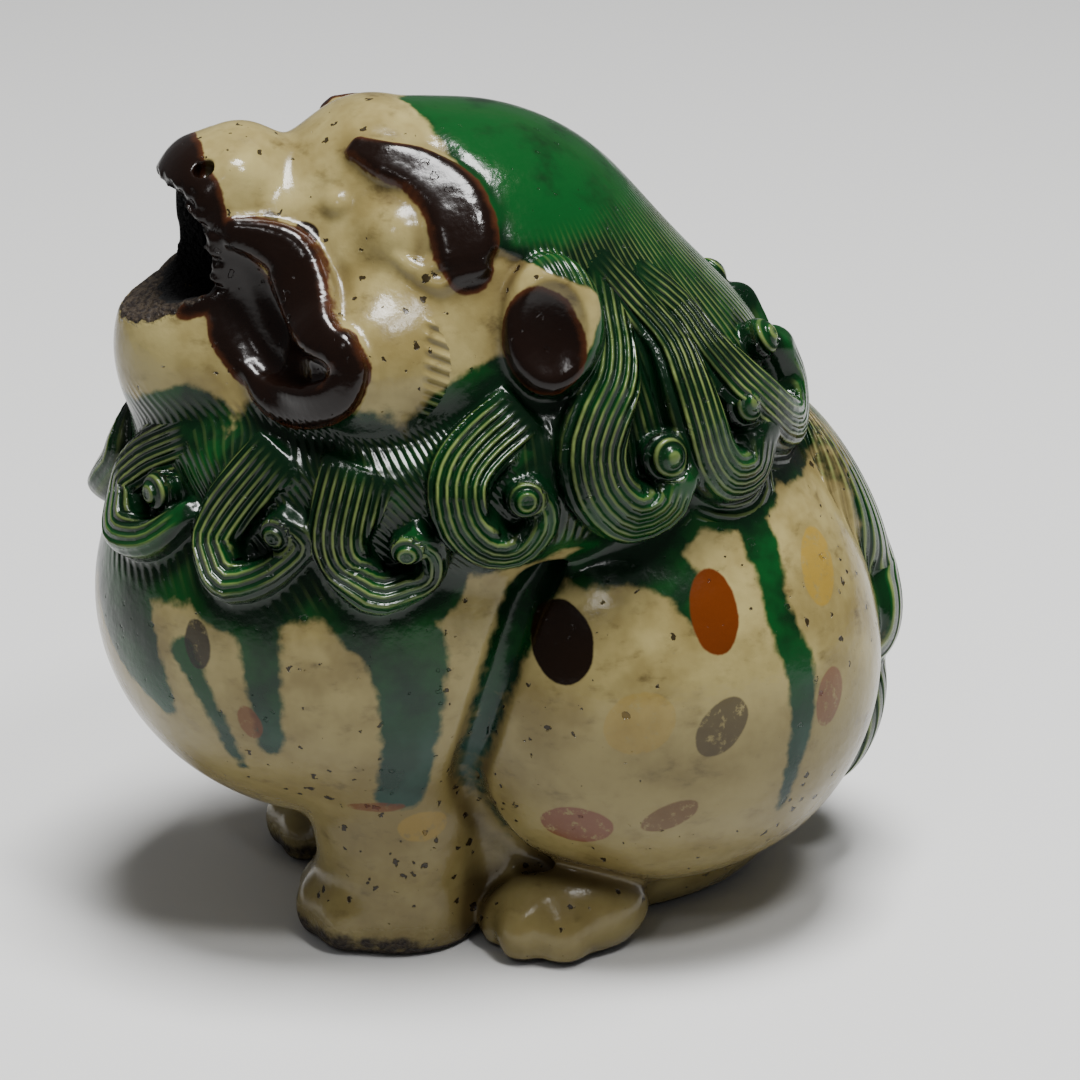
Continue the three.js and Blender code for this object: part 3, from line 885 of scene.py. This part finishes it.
def glaze(slot):
    """The slot's material. Every slot has the same nodes, because the paint is kept on the pieces."""
    if slot in GLAZES:
        return GLAZES[slot]
    material = GLAZES[slot] = bpy.data.materials.new("painted_" + slot)
    material.use_nodes = True
    graph = Graph(material.node_tree)
    math_of, step, mix, noise = graph.math, graph.step, graph.mix, graph.noise
    shader = material.node_tree.nodes["Principled BSDF"]
    place = graph.node("ShaderNodeTexCoord").outputs["Object"]
    _, (green, brown, spot) = graph.stored("paint")
    _, (pooled_and_shaded, worn, low_teal_and_shade) = graph.stored("state")
    _, (strand, strength, inner) = graph.stored("hair")
    tint, _ = graph.stored("tint")

    wobble = noise(place, 620, 3)
    patches = noise(place, 95, 4, 0.6)
    grain = noise(place, 2100, 2)
    streaked = graph.node("ShaderNodeMapping", None, Vector=place, Scale=(330.0, 330.0, 620.0)).outputs[0]
    streaks = noise(streaked, 1.0, 4, 0.6)
    shake = graph.node("ShaderNodeTexNoise", None, Vector=place, Scale=1500.0, Detail=2.0)
    shaken = graph.node("ShaderNodeVectorMath", {"operation": "MULTIPLY_ADD"})
    for socket, value in zip(shaken.inputs, (shake.outputs["Color"], (0.0012, 0.0012, 0.0012), place)):
        graph.feed(socket, value)
    pits = graph.node("ShaderNodeTexVoronoi", {"feature": "F1"}, Vector=shaken.outputs[0], Scale=760.0)
    pit_pick = graph.node("ShaderNodeSeparateColor", None, Color=pits.outputs["Color"]).outputs[0]
    pit_size = math_of("MULTIPLY", step(pit_pick, 0.5, 1.0), step(patches, 0.40, 0.60, 0.08, 0.30))
    pit = step(math_of("SUBTRACT", pits.outputs["Distance"], pit_size), 0.05, -0.02)

    wave = math_of("COSINE", math_of("MULTIPLY", strand, 2 * math.pi))
    ridge = math_of("MULTIPLY", step(wave, 0.1, 0.95), strength)
    valley_of_comb = math_of("MULTIPLY", step(wave, 0.2, -0.8), strength)

    cream = mix(step(patches, 0.35, 0.68), CREAM, CREAM_DEEP)
    smear = math_of("MULTIPLY", step(streaks, 0.52, 0.80), step(patches, 0.34, 0.6, 0.2, 0.8))
    cream = mix(smear, cream, GRIME_AND_SHADE)
    # cream darker towards the bottom: painted shade
    cream = mix(math_of("MULTIPLY", low_teal_and_shade, 0.55), cream, CREAM_IN_LOW_SHADE)
    # darker in hollows and under overhangs: pooled grime and painted shade
    cream = mix(step(pooled_and_shaded, 0.1, 1.6, 0.0, 0.85), cream, GRIME_AND_SHADE)
    cream = mix(math_of("MULTIPLY", valley_of_comb, 0.4), cream, GRIME_AND_SHADE)
    cream = mix(math_of("MULTIPLY", pit, 0.9), cream, BROWN)

    # deeper green where glaze pools in hollows, which also stands as painted shade there, and in random patches
    pooled_depth_and_shade = math_of("ADD", math_of("MULTIPLY", pooled_and_shaded, 0.55), step(patches, 0.38, 0.66, 0.0, 0.6))
    leaf = mix(step(pooled_depth_and_shade, 0.05, 0.75), GREEN_MID, GREEN_DEEP)
    leaf = mix(math_of("MULTIPLY", valley_of_comb, 0.75), leaf, GREEN_DEEP)
    pale = math_of("MULTIPLY", ridge, step(noise(place, 300, 3), 0.3, 0.62, 0.25, 0.95))
    leaf = mix(math_of("MULTIPLY", pale, step(pooled_and_shaded, 1.6, 0.4)), leaf, GREEN_THIN)
    sea = mix(step(noise(place, 170, 3), 0.4, 0.62), TEAL, TEAL_THIN)
    leaf = mix(math_of("MULTIPLY", low_teal_and_shade, 0.85), leaf, sea)
    edge = math_of("ADD", green, math_of("MULTIPLY", math_of("SUBTRACT", wobble, 0.5), 1.6))
    base = mix(step(edge, 0.45, -0.35), cream, leaf)

    rough_edge = math_of("MULTIPLY", math_of("SUBTRACT", wobble, 0.5), 0.8)
    spot_edge = math_of("ADD", spot, math_of("MULTIPLY", rough_edge, 0.4))
    mark = math_of("MULTIPLY", step(spot_edge, 0.12, -0.12), tint.outputs["Alpha"])
    thin = step(tint.outputs["Alpha"], 0.95, 0.85)
    holes = step(noise(place, 900, 4, 0.7), 0.30, 0.48, 0.9, 0.0)
    mark = math_of("MULTIPLY", mark, math_of("SUBTRACT", 1.0, math_of("MULTIPLY", thin, holes)))
    base = mix(mark, base, tint.outputs["Color"])
    brown_edge = math_of("ADD", brown, rough_edge)
    umber = mix(step(math_of("ADD", brown_edge, math_of("MULTIPLY", streaks, 0.6)), -0.5, 0.35), BROWN, BROWN_THIN)
    base = mix(step(brown_edge, 0.1, -0.15), base, umber)
    clay = mix(step(grain, 0.35, 0.65), CLAY, BROWN)
    base = mix(step(math_of("ADD", worn, math_of("MULTIPLY", math_of("SUBTRACT", wobble, 0.5), 0.8)), 0.35, 0.65),
               base, clay)
    # near black inside the hollow and the mouth: painted shade
    base = mix(step(inner, 0.3, 0.8), base, INSIDE_SHADE_BLACK)
    graph.feed(shader.inputs["Base Color"], base)

    gloss = step(math_of("ADD", patches, math_of("MULTIPLY", grain, 0.2)), 0.35, 0.8, 0.10, 0.24)
    graph.feed(shader.inputs["Roughness"], math_of("ADD", gloss, math_of("MULTIPLY", worn, 0.5)))
    shader.inputs["IOR"].default_value = 1.36
    relief = math_of("MULTIPLY", wave, math_of("MULTIPLY", strength, 0.22))
    relief = math_of("ADD", relief, math_of("MULTIPLY", noise(place, 330, 2), 0.11))
    relief = math_of("ADD", relief, math_of("MULTIPLY", grain, math_of("ADD", 0.02, math_of("MULTIPLY", worn, 0.4))))
    relief = math_of("SUBTRACT", relief, math_of("MULTIPLY", pit, 0.12))
    bump = graph.node("ShaderNodeBump", None, Height=relief, Distance=0.001, Strength=1.0)
    graph.feed(shader.inputs["Normal"], bump.outputs[0])
    return material


def placed(name, node, points, faces, normals, piece, paint):
    """A piece as a Blender object in metres, with its paint, in the place of the frame's node."""
    mesh = bpy.data.meshes.new(name)
    metres = points * METRES + np.array([(LOW[0] + HIGH[0]) / 2, (LOW[1] + HIGH[1]) / 2, LOW[2]])
    mesh.vertices.add(len(metres))
    mesh.vertices.foreach_set("co", metres.astype(np.float32).ravel())
    mesh.loops.add(faces.size)
    mesh.loops.foreach_set("vertex_index", faces.astype(np.int32).ravel())
    mesh.polygons.add(len(faces))
    mesh.polygons.foreach_set("loop_start", np.arange(0, faces.size, 4, dtype=np.int32))
    mesh.polygons.foreach_set("loop_total", np.full(len(faces), 4, np.int32))
    mesh.update()
    mesh.shade_smooth()
    mesh.normals_split_custom_set_from_vertices(normals)
    for title, values in paint.items():
        kind, field_name = ("FLOAT_COLOR", "color") if title == "tint" else ("FLOAT_VECTOR", "vector")
        stored = mesh.attributes.new(title, kind, "POINT")
        stored.data.foreach_set(field_name, values.astype(np.float32).ravel())
    mesh.materials.append(glaze(piece.slot))
    thing = bpy.data.objects.new(name, mesh)
    bpy.context.scene.collection.objects.link(thing)
    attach(thing, "root")
    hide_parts(node)


POINTS_AT_ONCE = 30000


def painted_in_blocks(points, out, index, group):
    starts = range(0, len(points), POINTS_AT_ONCE)
    parts = list(WORKERS.map(
        lambda i: painted(points[i:i + POINTS_AT_ONCE], out[i:i + POINTS_AT_ONCE], index, group), starts))
    return {title: np.concatenate([part[title] for part in parts]) for title in parts[0]}


OTHER_SIDE = vec(-1, 1, 1)
for index, piece in enumerate(PIECES):
    points, faces, out, group = made(index)
    if piece.sided:
        paint = painted_in_blocks(points, out, index, group)
        placed("glazed_left_" + piece.node, "left_" + piece.node, points, faces, out, piece, paint)
        points, out = points * OTHER_SIDE, out * OTHER_SIDE
        paint = painted_in_blocks(points, out, index, group)
        placed("glazed_right_" + piece.node, "right_" + piece.node, points, faces[:, ::-1], out, piece, paint)
    else:
        paint = painted_in_blocks(points, out, index, group)
        placed("glazed_" + piece.node, piece.node, points, faces, out, piece, paint)

# ---- floor, light and camera ----
FLOOR_REACH = 3
floor_mesh = bpy.data.meshes.new("floor")
corners = [(x * FLOOR_REACH, y * FLOOR_REACH, 0) for x, y in ((-1, -1), (1, -1), (1, 1), (-1, 1))]
floor_mesh.from_pydata(corners, [], [(0, 1, 2, 3)])
floor = bpy.data.objects.new("floor", floor_mesh)
bpy.context.scene.collection.objects.link(floor)
paper = bpy.data.materials.new("paper")
paper.use_nodes = True
paper.node_tree.nodes["Principled BSDF"].inputs["Base Color"].default_value = (0.62, 0.62, 0.612, 1)
paper.node_tree.nodes["Principled BSDF"].inputs["Roughness"].default_value = 0.6
floor_mesh.materials.append(paper)


def lamp(name, place, aim, size, power):
    light = bpy.data.lights.new(name, "AREA")
    light.size = size
    light.energy = power
    thing = bpy.data.objects.new(name, light)
    thing.location = place
    thing.rotation_euler = (Vector(aim) - Vector(place)).to_track_quat("-Z", "Y").to_euler()
    bpy.context.scene.collection.objects.link(thing)


lamp("window", (0.26, 0.12, 0.54), (0, 0, 0.04), 0.09, 1.3)
lamp("ceiling", (0.04, 0.06, 0.80), (0, 0, 0), 0.28, 14)
lamp("tube", (0.42, -0.26, 0.50), (0, 0, 0.04), 0.06, 0.25)
world = bpy.data.worlds.new("room")
world.use_nodes = True
world.node_tree.nodes["Background"].inputs["Color"].default_value = (0.75, 0.75, 0.76, 1)
world.node_tree.nodes["Background"].inputs["Strength"].default_value = 0.2
bpy.context.scene.world = world

CAMERA_HEIGHT = 0.184
CAMERA_OUT = 0.374
CAMERA_TURN = math.radians(12)
CAMERA_DOWN = math.radians(21.5)
CAMERA_SIDE = 0.0032
FILM_WIDTH = 36
LENS_IN_FRAME_WIDTHS = 3968 / 1080
camera_data = bpy.data.cameras.new("camera")
camera_data.sensor_width = FILM_WIDTH
camera_data.lens = FILM_WIDTH * LENS_IN_FRAME_WIDTHS
camera = bpy.data.objects.new("camera", camera_data)
out_way = Vector((math.cos(CAMERA_TURN), -math.sin(CAMERA_TURN), 0))
side_way = Vector((math.sin(CAMERA_TURN), math.cos(CAMERA_TURN), 0))
camera.location = out_way * CAMERA_OUT + side_way * CAMERA_SIDE + Vector((0, 0, CAMERA_HEIGHT))
look = -out_way * math.cos(CAMERA_DOWN) + Vector((0, 0, -math.sin(CAMERA_DOWN)))
camera.rotation_euler = look.to_track_quat("-Z", "Y").to_euler()
bpy.context.scene.collection.objects.link(camera)
bpy.context.scene.camera = camera
